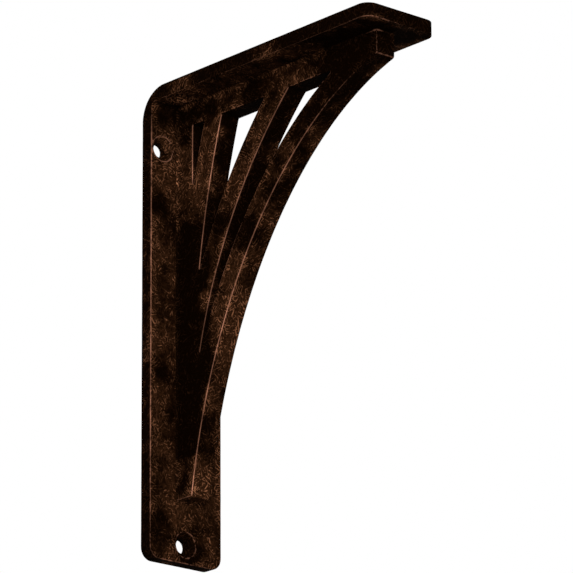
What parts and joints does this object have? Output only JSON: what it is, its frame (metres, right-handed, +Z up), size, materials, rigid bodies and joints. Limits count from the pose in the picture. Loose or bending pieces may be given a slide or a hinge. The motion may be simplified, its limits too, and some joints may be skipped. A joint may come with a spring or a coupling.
{
  "type": "wrought iron shelf bracket",
  "caption": "Wrought iron wall bracket: a flat bar bent into an angle, with rounded ends and countersunk screw holes, braced by an openwork web of curved bars.",
  "frame": {"origin": "on the back of the wall leg, half way up it and in the middle of its width, where it lies against the wall", "axes": "+Z up along the wall leg, +Y into the wall so that the top leg reaches out towards -Y, +X across the strap's width"},
  "size_m": [0.0508, 0.1875, 0.2704],
  "materials": {
    "strap_iron": "near-black iron with a rubbed bronze coat, fine copper-brown scratches and worn edges",
    "web_iron": "near-black iron with a rubbed bronze coat, fine copper-brown scratches and worn edges"
  },
  "bodies": {
    "root": {"strap": "strap_iron", "web": "web_iron"}
  },
  "joints": []
}
